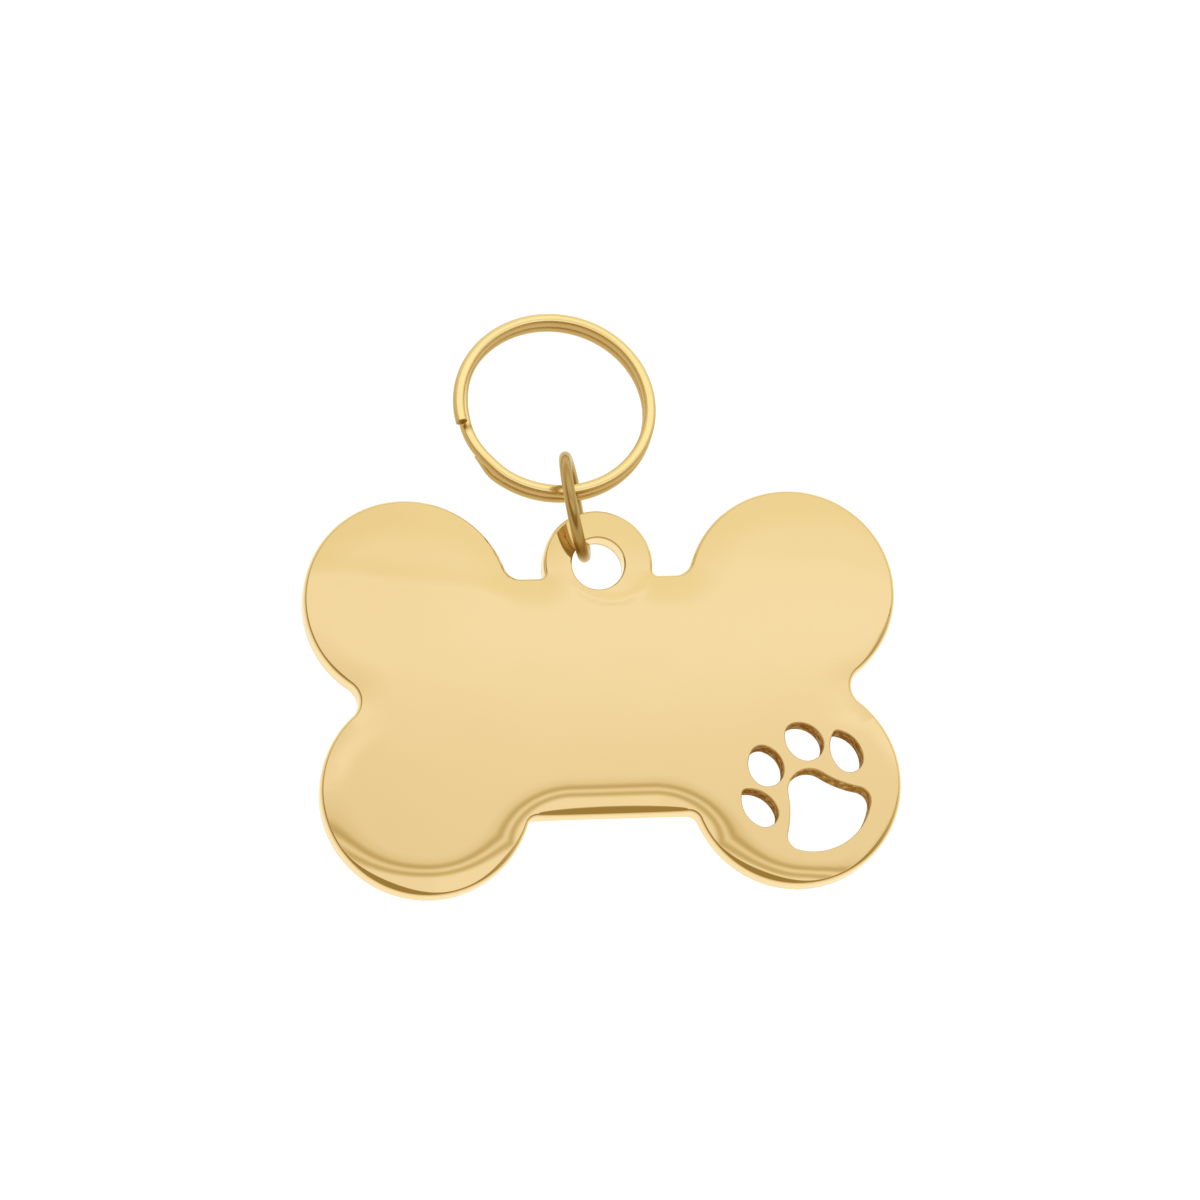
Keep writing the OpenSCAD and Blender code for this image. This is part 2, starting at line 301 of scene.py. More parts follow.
class Belt:
    """A closed outline that runs like a belt round discs, anticlockwise.

    Each disc is its centre and its radius, which is negative where the belt passes in a hollow.
    Between discs a and b the belt is their common tangent. Its outward normal n meets
    n . (b - a) = ra - rb, so discs that touch meet without a straight stretch.
    """

    def __init__(self, discs):
        self.centre = np.array([d[0] for d in discs], float)
        self.radius = np.array([d[1] for d in discs], float)
        away = np.roll(self.centre, -1, axis=0) - self.centre
        gap = np.linalg.norm(away, axis=1)
        ahead = away / gap[:, None]
        right = np.stack([ahead[:, 1], -ahead[:, 0]], axis=1)
        cosine = np.clip((self.radius - np.roll(self.radius, -1)) / gap, -1, 1)
        sine = np.sqrt(1 - cosine**2)
        leaving = cosine[:, None] * ahead + sine[:, None] * right
        end = np.arctan2(leaving[:, 1], leaving[:, 0])
        start = np.roll(end, 1)
        full = 2 * math.pi
        bulge = self.radius > 0
        self.start = start
        self.sweep = np.where(bulge, (end - start) % full, -((start - end) % full))
        self.leaving = leaving
        self.ahead = np.stack([-leaving[:, 1], leaving[:, 0]], axis=1)
        self.run = gap * sine

    def trace(self, step):
        """Points along the belt, their outward normals, and two marks: bulging and straight.

        A mark is 0 off its own kind of stretch, and on it the sine of half a turn times the share
        of the stretch that lies behind the point.
        """
        points, normals, bulging, straight = [], [], [], []
        for k, radius in enumerate(self.radius):
            swept = abs(self.sweep[k])
            count = max(
                ARC_LEAST, math.ceil(abs(radius) * swept / step),
                math.ceil(swept / math.radians(ARC_STEP)))
            share = np.arange(count) / count
            normal = unit(self.start[k] + self.sweep[k] * share)
            points.append(self.centre[k] + radius * normal)
            normals.append(normal)
            bulging.append(np.sin(math.pi * share) * (radius > 0))
            straight.append(np.zeros(count))
            count = math.ceil(self.run[k] / step) if self.run[k] > SLIVER * step else 0
            share = np.arange(count) / max(count, 1)
            leave = self.centre[k] + radius * self.leaving[k]
            points.append(leave + share[:, None] * self.run[k] * self.ahead[k])
            normals.append(np.repeat(self.leaving[k][None], count, axis=0))
            bulging.append(np.zeros(count))
            straight.append(np.sin(math.pi * share))
        return [np.concatenate(part) for part in (points, normals, bulging, straight)]

    def depth(self, p):
        """How deep the points lie inside the belt: the signed distance to its nearest stretch.

        Within an arc's sweep it is the radius less the distance from the centre, or the reverse in
        a hollow. Beside a straight stretch it is the way back from it, against its normal.
        """
        best = np.full(p.shape[:-1], FAR)
        for k, radius in enumerate(self.radius):
            spoke = p - self.centre[k]
            far = np.linalg.norm(spoke, axis=-1)
            sign = np.sign(radius)
            angle = np.arctan2(sign * spoke[..., 1], sign * spoke[..., 0])
            turn = (sign * (angle - self.start[k])) % (2 * math.pi)
            reached = turn <= abs(self.sweep[k]) + NOTHING
            found = np.where(reached, sign * (abs(radius) - far), FAR)
            best = np.where(abs(found) < abs(best), found, best)
            if self.run[k] > NOTHING:
                rest = p - (self.centre[k] + radius * self.leaving[k])
                share = rest @ self.ahead[k] / self.run[k]
                found = np.where((share >= 0) & (share <= 1), -(rest @ self.leaving[k]), FAR)
                best = np.where(abs(found) < abs(best), found, best)
        return best


class Disc:
    """A round outline, with the same two functions as a belt."""

    def __init__(self, centre, radius):
        self.centre = np.array(centre, float)
        self.radius = radius

    def trace(self, step):
        """Points round the circle, their outward normals and no marks."""
        count = math.ceil(2 * math.pi * self.radius / step)
        normal = unit(2 * math.pi * np.arange(count) / count)
        return self.centre + self.radius * normal, normal, np.zeros(count), np.zeros(count)

    def depth(self, p):
        """Radius less the distance from the centre."""
        return self.radius - np.linalg.norm(p - self.centre, axis=-1)


def bone_half(lobe, fillet_r):
    """The discs of the plate's right half from the bar's lower hollow up to the lug's foot."""
    upper = level_fillet(UPPER_LOBE, UPPER_LOBE_R, BAR_TOP, UPPER_FILLET_R)
    lower = level_fillet(lobe, LOWER_LOBE_R, BAR_BOTTOM, fillet_r)
    waist = meeting(
        lobe, LOWER_LOBE_R + WAIST_FILLET_R, UPPER_LOBE, UPPER_LOBE_R + WAIST_FILLET_R)
    rise = BAR_TOP + LUG_FILLET_R - LUG[1]
    side = np.array([math.sqrt((LUG_R + LUG_FILLET_R) ** 2 - rise**2), BAR_TOP + LUG_FILLET_R])
    return [
        (lower, -fillet_r),
        (lobe, LOWER_LOBE_R),
        (waist, -WAIST_FILLET_R),
        (UPPER_LOBE, UPPER_LOBE_R),
        (upper, -UPPER_FILLET_R),
        (side, -LUG_FILLET_R),
    ]


def bone_belt(right, left):
    """A bone's outline from its right half, the lug, and the other half mirrored."""
    mirrored = [(flipped(centre), radius) for centre, radius in reversed(left)]
    return Belt(right + [(LUG, LUG_R)] + mirrored)


def placed(discs, middle, turn):
    """The discs turned anticlockwise about the origin and then moved to the middle."""
    c, s = math.cos(math.radians(turn)), math.sin(math.radians(turn))
    rotation = np.array([[c, -s], [s, c]])
    return [(rotation @ np.array(centre, float) + middle, radius) for centre, radius in discs]


def toe_discs(length, rear_r, front_r, flank_r):
    """A toe's two ends and the two large discs that its bulging flanks lie on, front end up.

    A flank's disc has both ends' discs inside it and touches them, so its centre lies from each
    end's by the difference of their radii.
    """
    pitch = length - rear_r - front_r
    rear = np.array([0, rear_r - length / 2])
    front = rear + [0, pitch]
    right = meeting(front, flank_r - front_r, rear, flank_r - rear_r)
    return [(rear, rear_r), (right, flank_r), (front, front_r), (flipped(right), flank_r)]


def pad_discs():
    """The pad's front end, hollow flanks, rear corners and the large disc that its back lies on.

    A flank's disc touches a rear corner's and the front end's from outside. The large disc's centre
    is on the middle line, as far from the pad's back as from each corner's far side.
    """
    front = np.array([0, PAD_FRONT_Y])
    flank = meeting(PAD_REAR, PAD_REAR_R + PAD_FLANK_R, front, PAD_FRONT_R + PAD_FLANK_R)
    reach = PAD_REAR_R - PAD_BACK_Y
    base_y = (reach**2 - PAD_REAR @ PAD_REAR) / (2 * (reach - PAD_REAR[1]))
    base_r = base_y + PAD_BACK_Y
    return [
        (PAD_REAR, PAD_REAR_R),
        (flank, -PAD_FLANK_R),
        (front, PAD_FRONT_R),
        (flipped(flank), -PAD_FLANK_R),
        (flipped(PAD_REAR), PAD_REAR_R),
        ([0, base_y], base_r),
    ]


def paw_belts():
    """The five holes of the paw, turned and set in the lower right lobe."""
    belts = [Belt(placed(pad_discs(), PAW, PAW_TURN))]
    for toe in (INNER_TOE, OUTER_TOE):
        for side in (1, -1):
            discs = toe_discs(toe["length"], toe["rear_r"], toe["front_r"], toe["flank_r"])
            middle = (side * toe["middle"][0], toe["middle"][1])
            discs = placed(discs, middle, side * toe["lean"])
            belts.append(Belt(placed(discs, PAW, PAW_TURN)))
    return belts


# Meshes


def smooth_step(x):
    """Goes from 0 to 1 with level ends: 3x squared less 2x cubed."""
    x = np.clip(x, 0, 1)
    return x * x * (3 - 2 * x)


def turning(angles):
    """The turn about X, then Y, then Z by the angles in degrees."""
    return Euler([math.radians(angle) for angle in angles])


def linked(name, data):
    """A new object of the scene for a mesh or a camera."""
    made = bpy.data.objects.new(name, data)
    bpy.context.scene.collection.objects.link(made)
    return made


def make_piece(name, points, faces, normals, cut_and_shade):
    """A smooth mesh from points in millimetres, with its own normals and dull and shade marks."""
    mesh = bpy.data.meshes.new(name)
    mesh.from_pydata((points * MM).tolist(), [], faces)
    mesh.polygons.foreach_set("use_smooth", np.ones(len(mesh.polygons), bool))
    layer = mesh.attributes.new("cut_and_shade", "FLOAT", "POINT")
    layer.data.foreach_set("value", cut_and_shade.astype(np.float32))
    normals = normals / np.linalg.norm(normals, axis=1)[:, None]
    mesh.normals_split_custom_set_from_vertices(normals.tolist())
    mesh.update()
    return linked(name, mesh)


def strip_faces(rows, count, first=0):
    """Quads between neighbouring rows of a closed loop, numbered row by row from first."""
    row = np.arange(rows - 1)[:, None] * count
    here = np.arange(count)[None]
    there = (here + 1) % count
    quads = np.stack([row + here, row + count + here, row + count + there, row + there], axis=-1)
    return (quads.reshape(-1, 4) + first).tolist()


def spin(points, normals, tilt, middle):
    """Turns points and normals by the tilt, and moves the points to the middle."""
    turn = np.array(turning(tilt).to_matrix())
    return points @ turn.T + np.array(middle), normals @ turn.T


# Plate

plate_half = bone_half(LOWER_LOBE, LOWER_FILLET_R)
bone = bone_belt(plate_half, plate_half)
crown_bone = bone_belt(
    bone_half(LOWER_LOBE + CROWN_PAW_SHIFT, CROWN_FILLET_R),
    bone_half(LOWER_LOBE, CROWN_FILLET_R))
lug_hole = Disc(LUG, LUG_HOLE_R)
holes = [lug_hole] + paw_belts()


def crown_drop(p):
    """How far a face falls below its middle, at the points.

    The slope grows from nothing at the crown's width to its most at the crown's own bone, as a power
    of the nearness to it, which is 1 less depth / width. So the drop is slope x width / (power + 1)
    times the nearness to the power + 1. Width and slope shrink from the lobes' middles to their
    outer sides, and the crown fades upward over the plate. The bends rise over it.
    """
    outer = smooth_step((np.abs(p[..., 0]) - LOWER_LOBE[0]) / LOWER_LOBE_R)
    share = 1 - (1 - np.where(p[..., 0] > 0, CROWN_RIGHT_SIDE, CROWN_LEFT_SIDE)) * outer
    near = np.clip(1 - crown_bone.depth(p) / (CROWN_WIDTH * share), 0, 1)
    deep = math.radians(CROWN_SLOPE) * share**2 * CROWN_WIDTH / (CROWN_POWER + 1)
    rise = smooth_step((p[..., 1] - CROWN_FULL_Y) / (CROWN_FADED_Y - CROWN_FULL_Y))
    return deep * near ** (CROWN_POWER + 1) * (1 - (1 - UPPER_CROWN) * rise) - bends(p)


def bends(p):
    """Two faint rises, as bell curves across a falling line and across part of a circle.

    A bell curve is its height times e to the power of minus the squared distance in its widths. The
    line's fades in to the left of the lug, and the circle's below the bar's top.
    """
    x, y = p[..., 0], p[..., 1]
    over = (y - LOBE_BEND_Y + LOBE_BEND_FALL * (x + LUG_R)) / LOBE_BEND_W
    left = smooth_step(-(x + LUG_R) / LUG_R)
    far = (np.linalg.norm(p - FOOT_BEND, axis=-1) - FOOT_BEND_R) / FOOT_BEND_W
    low = smooth_step(BAR_TOP - y)
    return LOBE_BEND_H * np.exp(-over**2) * left + FOOT_BEND_H * np.exp(-far**2) * low


def crown_fall(p, reach=0.01):
    """The gradient of the drop, from its differences over a short reach each way."""
    x, y = np.array([reach, 0]), np.array([0, reach])
    across = crown_drop(p + x) - crown_drop(p - x)
    along = crown_drop(p + y) - crown_drop(p - y)
    return np.stack([across, along], axis=-1) / (2 * reach)


def bevel_widths(outward, bulging, straight):
    """Width of the outline's polished bevel: lens-shaped under the bar and along each stroke.

    The bar's part is the root of the straight mark. A stroke's share is the square of a cosine that
    reaches nothing at its half width, on the lobes alone, and fades at their ends.
    """
    facing = np.degrees(np.arctan2(outward[:, 1], outward[:, 0]))
    width = BEVEL_LEAST + BAR_BEVEL * np.sqrt(straight) * (outward[:, 1] < BAR_FACING)
    for direction, half, most in STROKES:
        share = np.clip((facing - direction) / half, -1, 1)
        whole = np.clip(STROKE_RISE * bulging, 0, 1)
        width = width + most * np.cos(share * QUARTER) ** 2 * whole
    return width


def rim(points, outward, bevel, corner):
    """Rows from a face's edge over a bevel and a round corner to the upright wall.

    Over the bevel the lean goes from the face's own slope to the bevel's lean, and round the
    corner evenly on to upright. On the bevel each row lies beyond the last by its share of the
    width, and below it by that times the tangent of the lean between them. On the corner these are
    its share of the arc times the lean's cosine and sine. The rows' reach is then scaled so that
    they end on the outline. Returns the inset from the outline, the depth under the face's middle
    plane and the lean, rows first.
    """
    bevel_lean = math.radians(BEVEL_LEAN)
    size = bevel + corner * (1 - math.sin(bevel_lean))
    inner = points - outward * size[:, None]
    first = np.arctan(np.sum(crown_fall(inner) * outward, axis=1))
    share = np.linspace(0, 1, RIM_ROWS + 1)[:, None]
    lean = first + (bevel_lean - first) * smooth_step(share * BEVEL_TURN)
    round_lean = bevel_lean + (QUARTER - bevel_lean) * share[1:]
    lean = np.concatenate([lean, np.repeat(round_lean, len(points), axis=1)])
    between = (lean[1:] + lean[:-1]) / 2
    on_bevel, on_corner = between[:RIM_ROWS], between[RIM_ROWS:]
    run = np.repeat(bevel[None] / RIM_ROWS, RIM_ROWS, axis=0)
    arc = corner * (QUARTER - bevel_lean) / RIM_ROWS
    none = np.zeros((1, len(points)))
    out = np.cumsum(np.concatenate([none, run, np.cos(on_corner) * arc]), axis=0)
    down = np.concatenate([none, run * np.tan(on_bevel), np.sin(on_corner) * arc])
    return size - out * size / out[-1], crown_drop(inner) + np.cumsum(down, axis=0), lean


def wall_loop(points, outward, bevel, back_bevel, corner, dull_and_shade):
    """The rows of one closed edge of the plate, from its front face round to its back face.

    A row is the outline moved in by the row's inset, at its height. Its normals are the outward
    direction times the sine of the lean, the upright times its cosine, and the direction along the
    outline times that cosine and the face's slope along it. Returns points and normals, and the
    share
    of dull metal and painted shade: the given share on the upright parts, and no less near the back
    than the back edge's painted shade.
    """
    inset, deep, lean = rim(points, outward, bevel, corner)
    inset_b, deep_b, lean_b = rim(points, outward, back_bevel, corner)
    along = np.stack([-outward[:, 1], outward[:, 0]], axis=1)
    fall = [crown_fall(points - outward * row[0][:, None]) for row in (inset, inset_b)]
    sideways = np.stack([np.sum(part * along, axis=1) for part in fall])
    share = np.linspace(0, 1, WALL_ROWS + 2)[1:-1, None]
    top, base = PLATE_T - deep, deep_b[::-1]
    wall = top[-1] + (base[0] - top[-1]) * share
    none = np.zeros_like(wall)
    inset = np.concatenate([inset, none, inset_b[::-1]])
    height = np.concatenate([top, wall, base])
    lean = np.concatenate([lean, none + QUARTER, math.pi - lean_b[::-1]])
    plan = points[None] - outward[None] * inset[..., None]
    level = np.cos(lean)[..., None]
    sideways = np.where(level > 0, sideways[0][None, :, None], -sideways[1][None, :, None])
    flat = outward * np.sin(lean)[..., None] + along * sideways * level
    normal = np.concatenate([flat, level], axis=-1)
    steep = smooth_step((np.sin(lean) - STEEP) / (1 - STEEP)) * dull_and_shade
    # Painted shade along the back edge, fading out upward
    low = smooth_step((BACK_EDGE_TOP[0] - height) / (BACK_EDGE_TOP[0] - BACK_EDGE_TOP[1]))
    cut_and_shade = np.maximum(steep, BACK_EDGE_SHADE * low)
    return np.concatenate([plan, height[..., None]], axis=-1), normal, cut_and_shade


def hole_corner(hole):
    """The radius of a hole's round corner."""
    return LUG_HOLE_CORNER_R if hole is lug_hole else PAW_HOLE_CORNER_R


def hole_inset(hole):
    """How far outside a hole's wall its edge on the faces lies: the bevel and the corner's part."""
    return HOLE_BEVEL + hole_corner(hole) * (1 - math.sin(math.radians(BEVEL_LEAN)))


def face_fill(loops, most_inset):
    """The fill inside the edges' last rows: staggered points, joined by Delaunay's rule.

    The points lie in rows of equal triangles, and are kept off the outline by the greatest inset
    and a margin, and off the holes by theirs. Triangles in the holes are left out.
    """
    edges, start = [], 0
    for loop in loops:
        here = np.arange(len(loop))
        edges.append(np.stack([here, (here + 1) % len(loop)], axis=1) + start)
        start += len(loop)
    borders = np.concatenate(loops)
    low, high = borders.min(axis=0), borders.max(axis=0)
    row_step = FACE_STEP * math.sqrt(3) / 2
    y, x = np.meshgrid(
        np.arange(low[1], high[1], row_step), np.arange(low[0], high[0], FACE_STEP), indexing="ij")
    x[1::2] += FACE_STEP / 2
    grid = np.stack([x, y], axis=-1).reshape(-1, 2)
    margin = FACE_STEP * FACE_MARGIN
    keep = bone.depth(grid) > most_inset + margin
    for hole in holes:
        keep &= hole.depth(grid) < -hole_inset(hole) - margin
    grid = grid[keep]
    flat = np.concatenate([borders, grid])
    found = delaunay_2d_cdt(flat.tolist(), np.concatenate(edges).tolist(), [], 1, SAME_POINT)
    if len(found[0]) != len(flat):
        raise ValueError("the plate's edges cross")
    triangles = np.array(found[2])
    middle = flat[triangles].mean(axis=1)
    outside = np.ones(len(triangles), bool)
    for hole in holes:
        outside &= hole.depth(middle) < -hole_inset(hole) - SLIVER * margin
    return grid, triangles[outside]


def plate():
    """The plate: rounded edges round the outline and each hole, and crowned faces between them.

    A face's point is the grid's, lowered by the crown's drop, and its normal is (fall in X, fall in
    Y, 1), so the drop's gradient leans it outward. The back face is the same, upside down.
    """
    points, normals, cuts, faces, fronts, backs = [], [], [], [], [], []
    total = 0
    for belt in [bone] + holes:
        p, out, bulging, straight = belt.trace(OUTLINE_STEP if belt is bone else HOLE_STEP)
        if belt is bone:
            bevel = bevel_widths(out, bulging, straight)
            back, corner = np.full(len(p), BACK_BEVEL), CORNER_R
            # A little painted shade on the outline's wall, which clears where the wall faces
            # downward
            dull_and_shade = EDGE_SHADE * (1 - smooth_step(-SHADE_CLEARING * out[:, 1]))
        else:
            p, out = p[::-1], -out[::-1]
            bevel = np.full(len(p), HOLE_BEVEL)
            back, corner = bevel, hole_corner(belt)
            # The paw holes' walls: a dull cut, with painted shade for the shadowed floor that they
            # mirror
            dull_and_shade = LUG_HOLE_DULL_AND_SHADE if belt is lug_hole else PAW_HOLE_DULL_AND_SHADE
        place, normal, cut_and_shade = wall_loop(p, out, bevel, back, corner, dull_and_shade)
        rows, count = place.shape[:2]
        faces += strip_faces(rows, count, total)
        points.append(place.reshape(-1, 3))
        normals.append(normal.reshape(-1, 3))
        cuts.append(cut_and_shade.reshape(-1))
        fronts.append(np.arange(count) + total)
        backs.append(np.arange(count) + total + (rows - 1) * count)
        total += rows * count
    edge = np.concatenate(points)
    for loops, height, sign in ((fronts, PLATE_T, 1), (backs, 0, -1)):
        most_inset = (BEVEL_LEAST + BAR_BEVEL if sign > 0 else BACK_BEVEL) + CORNER_R
        grid, triangles = face_fill([edge[loop][:, :2] for loop in loops], most_inset)
        border = np.concatenate(loops)
        number = np.concatenate([border, np.arange(len(grid)) + total])
        faces += number[triangles[:, ::sign]].tolist()
        points.append(np.column_stack([grid, height - sign * crown_drop(grid)]))
        slope = crown_fall(grid)
        normals.append(np.column_stack([slope, np.full(len(grid), sign)]))
        cuts.append(np.zeros(len(grid)))
        total += len(grid)
    points, normals, cuts = [np.concatenate(part) for part in (points, normals, cuts)]
    return make_piece("bone_plate", points, faces, normals, cuts)


# Rings


def end_rows(start, end, step, end_round, radius, half):
    """Angles along a wire, with extra rows at both ends that round them off by a quarter turn.

    At a turn t of the rounding a row lies back from the end by its radius times 1 - sin t, and its
    section is less by its radius's share of the section's half times 1 - cos t. Returns the angles,
    how much each section is drawn in, and how far each row's normals lean out along the wire.
    """
    body = np.linspace(start, end, math.ceil(abs(end - start) / step) + 1)
    turn = np.linspace(QUARTER, 0, WIRE_END_ROWS)
    back = math.degrees(end_round / radius) * (1 - np.sin(turn))
    shrink = 1 - end_round / half * (1 - np.cos(turn))
    inner = body[(body > start + back[-1]) & (body < end - back[-1])]
    angles = np.concatenate([start + back, inner, (end - back)[::-1]])
    draw = np.concatenate([shrink, np.ones(len(inner)), shrink[::-1]])
    lean = np.concatenate([-turn, np.zeros(len(inner)), turn[::-1]])
    return angles, draw, lean


def wire(name, path, section, around, radius, height, thin, order, tilt, middle, dull_and_shade):
    """A closed mesh of a section, with its normals around it, carried round a circle.

    A point is the circle's point at its row's angle, plus the height along the axis, plus the
    section's offset outward and along the axis, drawn in at the ends. Along the axis the offset is
    also times the row's thinness. Then the axes are put in order, and all is turned by the tilt and
    moved. The metal is dull on its cut ends, and elsewhere has the given share of painted shade.
    """
    angles, draw, lean = path
    radial = np.column_stack([unit(np.radians(angles)), np.zeros(len(angles))])
    axial = np.tile([0.0, 0.0, 1.0], (len(angles), 1))
    forward = np.cross(axial, radial)
    thinned = np.column_stack([np.ones(len(thin)), thin])
    offset = section[None] * draw[:, None, None] * thinned[:, None]
    points = (radius * radial + height[:, None] * axial)[:, None]
    points = points + offset[..., :1] * radial[:, None] + offset[..., 1:] * axial[:, None]
    normals = around[None, :, :1] * radial[:, None] + around[None, :, 1:] * axial[:, None]
    normals = normals * np.cos(lean)[:, None, None] + forward[:, None] * np.sin(lean)[:, None, None]
    dull_and_shade = np.broadcast_to(np.maximum(np.sin(lean)[:, None] ** 2, dull_and_shade), points.shape[:2])
    rows, count = points.shape[:2]
    here = np.arange(count)
    there = (here + 1) % count
    end = (rows - 1) * count
    faces = strip_faces(rows, count)
    faces += np.stack([here, there, np.full(count, rows * count)], axis=1).tolist()
    faces += np.stack([end + there, end + here, np.full(count, rows * count + 1)], axis=1).tolist()
    points = np.concatenate([points.reshape(-1, 3), points[[0, -1]].mean(axis=1)])
    normals = np.concatenate([normals.reshape(-1, 3), -forward[:1], forward[-1:]])
    points, normals = spin(points[:, order], normals[:, order], tilt, middle)
    return make_piece(name, points, faces, normals, np.append(dull_and_shade.reshape(-1), [1.0, 1.0]))


def jump_ring():
    """Round wire bent to a ring, standing on edge in the lug, with a narrow butt cut.

    Its centre line is a circle, pushed sideways by the bend as a smooth step of the angle. The
    painted shade where it goes into the lug's hole is a bell curve of the angle.
    """
    half_cut = math.degrees(JUMP_CUT / JUMP_MID_R / 2)
    path = end_rows(
        JUMP_CUT_TURN + half_cut, JUMP_CUT_TURN + FULL_TURN - half_cut, JUMP_STEP,
        JUMP_END_ROUND, JUMP_MID_R, JUMP_WIRE_R)
    angles = path[0]
    around = unit(2 * math.pi * np.arange(JUMP_AROUND) / JUMP_AROUND)
    sideways = -JUMP_BEND * smooth_step((JUMP_BEND_FROM - angles) / JUMP_BEND_OVER)
    # Painted shade where the wire goes into the lug's hole
    painted_shade = JUMP_SHADE * np.exp(-((angles - JUMP_SHADE_TURN) / JUMP_SHADE_OVER) ** 2)
    return wire(
        "jump_wire", path, JUMP_WIRE_R * around, around, JUMP_MID_R, sideways,
        np.ones(len(angles)), ON_EDGE, JUMP_TILT, JUMP_MIDDLE, painted_shade[:, None])


def split_section():
    """A flat wire's section: four corner discs, and four large discs for its full sides.

    A side's disc leans by the fullness where it passes into the corner's. That puts the corners'
    centres where each half width less the corner radius is x + y tan(fullness / 2), and the same
    with x and y swapped.
    """
    full = math.radians(SPLIT_WIRE_FULL)
    part = math.tan(full / 2)
    wide, thick = SPLIT_WIRE_W / 2 - SPLIT_WIRE_ROUND, SPLIT_WIRE_T / 2 - SPLIT_WIRE_ROUND
    x, y = (wide - part * thick) / (1 - part**2), (thick - part * wide) / (1 - part**2)
    face_r = SPLIT_WIRE_ROUND + x / math.sin(full)
    side_r = SPLIT_WIRE_ROUND + y / math.sin(full)
    right, top = [SPLIT_WIRE_W / 2 - side_r, 0], [0, SPLIT_WIRE_T / 2 - face_r]
    half_turn = [
        (right, side_r),
        ([x, y], SPLIT_WIRE_ROUND),
        (top, face_r),
        ([-x, y], SPLIT_WIRE_ROUND),
    ]
    other = [([-centre[0], -centre[1]], radius) for centre, radius in half_turn]
    return Belt(half_turn + other).trace(SPLIT_AROUND_STEP)[:2]


def split_ring():
    """Flat wire wound in two turns that lie on each other, with a step and two ends.

    The height goes up by the pitch, as a smooth step, right after the front end. Around there the
    radius is less by the sprung length, towards the front end it is more by the spread, and at the
    rear end less by the tuck, each as a smooth step over its angle. The rear end is ground to a
    wedge, as thick as the room that the climbing wire leaves behind it.
    """
    path = end_rows(
        SPLIT_FRONT_END + SPLIT_BARE, SPLIT_FRONT_END + 2 * FULL_TURN, SPLIT_ROW_STEP,
        SPLIT_END_ROUND, SPLIT_MID_R, SPLIT_WIRE_W / 2)
    past = path[0] - SPLIT_FRONT_END
    behind = past - FULL_TURN
    room = SPLIT_PITCH * smooth_step(past / SPLIT_STEP)
    thin = np.minimum(room / SPLIT_WIRE_T, 1)
    height = SPLIT_PITCH * (smooth_step(behind / SPLIT_STEP) - 0.5)
    height = height - (1 - thin) * SPLIT_WIRE_T / 2
    section, around = split_section()
    sprung = smooth_step(1 - np.abs(behind) / SPLIT_SPRUNG_OVER)
    tucked = smooth_step(1 - (past - SPLIT_BARE) / SPLIT_TUCKED_OVER)
    spread = smooth_step(1 - (FULL_TURN - behind) / SPLIT_SPREAD_OVER)
    radius = SPLIT_MID_R + SPLIT_SPREAD * spread - SPLIT_SPRUNG * sprung - SPLIT_TUCKED * tucked
    # Painted shade in the nook behind the front end, and on the wire's inner and outer sides
    nook = SPLIT_NOOK_SHADE * np.exp(-((behind - SPLIT_NOOK) / SPLIT_NOOK) ** 2)
    beside = smooth_step((np.abs(around[:, 0]) - SPLIT_SIDE_FROM) / SPLIT_SIDE_OVER)
    dull_and_shade = np.maximum(nook[:, None] * np.clip(around[:, 1], 0, 1), SPLIT_SIDE_SHADE * beside)
    return wire(
        "split_wire", path, section, around, radius[:, None], height, thin, LYING,
        SPLIT_TILT, SPLIT_MIDDLE, dull_and_shade)


# Materials


def put(tree, kind, feeds=(), **settings):
    """Adds a node, sets it up, and feeds its inputs with values or with other nodes' outputs."""
    node = tree.nodes.new(kind)
    for name, value in settings.items():
        setattr(node, name, value)
    for key, value in dict(feeds).items():
        if isinstance(value, bpy.types.NodeSocket):
            tree.links.new(value, node.inputs[key])
        else:
            node.inputs[key].default_value = value
    return node


def sums(tree, operation, *values):
    """A Math node's result for the values, which are numbers or outputs."""
    return put(tree, "ShaderNodeMath", dict(enumerate(values)), operation=operation).outputs[0]


def ranged(tree, value, edge, ends=(0.0, 1.0), kind="SMOOTHSTEP"):
    """A level that goes from one end to the other while the value passes from edge to edge."""
    return put(tree, "ShaderNodeMapRange", {
        "Value": value, "From Min": edge[0], "From Max": edge[1], "To Min": ends[0],
        "To Max": ends[1]}, interpolation_type=kind).outputs[0]


def blended(tree, share, one, other):
    """A colour that goes from one to other by the share: sockets 0, 6, 7 and 2 are for colours."""
    return put(tree, "ShaderNodeMix", {0: share, 6: one, 7: other}, data_type="RGBA").outputs[2]


def fresh_tree(owner):
    """The emptied node tree of a material or a world."""
    owner.use_nodes = True
    owner.node_tree.nodes.clear()
    return owner.node_tree


def new_group(name, inputs, outputs):
    """An empty shader group with named inputs, each with its start value, and named outputs."""
    tree = bpy.data.node_groups.new(name, "ShaderNodeTree")
    for label, start in inputs.items():
        kind = "NodeSocketColor" if isinstance(start, tuple) else "NodeSocketFloat"
        socket = tree.interface.new_socket(label, in_out="INPUT", socket_type=kind)
        socket.default_value = start
    for label, kind in outputs.items():
        tree.interface.new_socket(label, in_out="OUTPUT", socket_type=kind)
    return tree, put(tree, "NodeGroupInput"), put(tree, "NodeGroupOutput")


